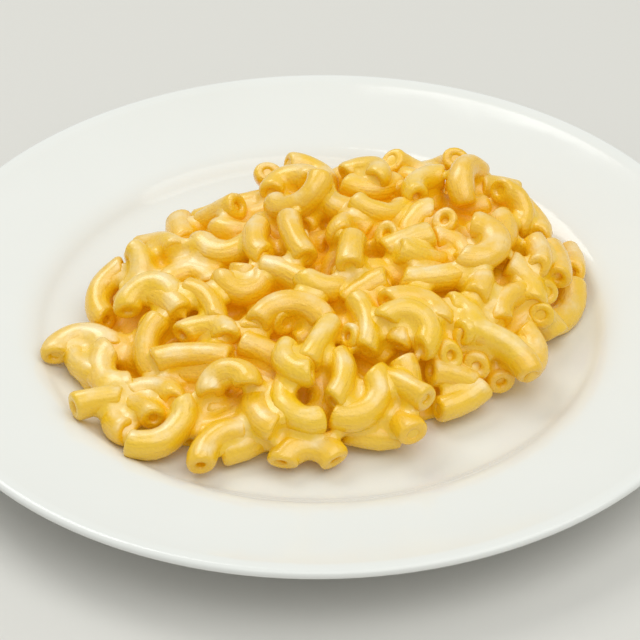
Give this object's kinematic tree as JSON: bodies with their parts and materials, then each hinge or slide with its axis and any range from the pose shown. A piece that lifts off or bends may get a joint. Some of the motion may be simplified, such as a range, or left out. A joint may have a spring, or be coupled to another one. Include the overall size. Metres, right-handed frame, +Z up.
{
  "type": "macaroni and cheese on a plate",
  "caption": "Heap of elbow macaroni in a smooth yellow cheese sauce, served on a round white wide-rimmed dinner plate.",
  "frame": {"origin": "on the table, under the middle of the plate", "axes": "+Z up, -Y towards the eater, +X to the eater's right"},
  "size_m": [0.27, 0.27, 0.0498],
  "materials": {
    "glazed_porcelain": "smooth white glaze",
    "cheese_macaroni": "moist, satin, coated in cheese sauce"
  },
  "bodies": {
    "root": {"plate": "glazed_porcelain", "macaroni": "cheese_macaroni"}
  },
  "joints": []
}
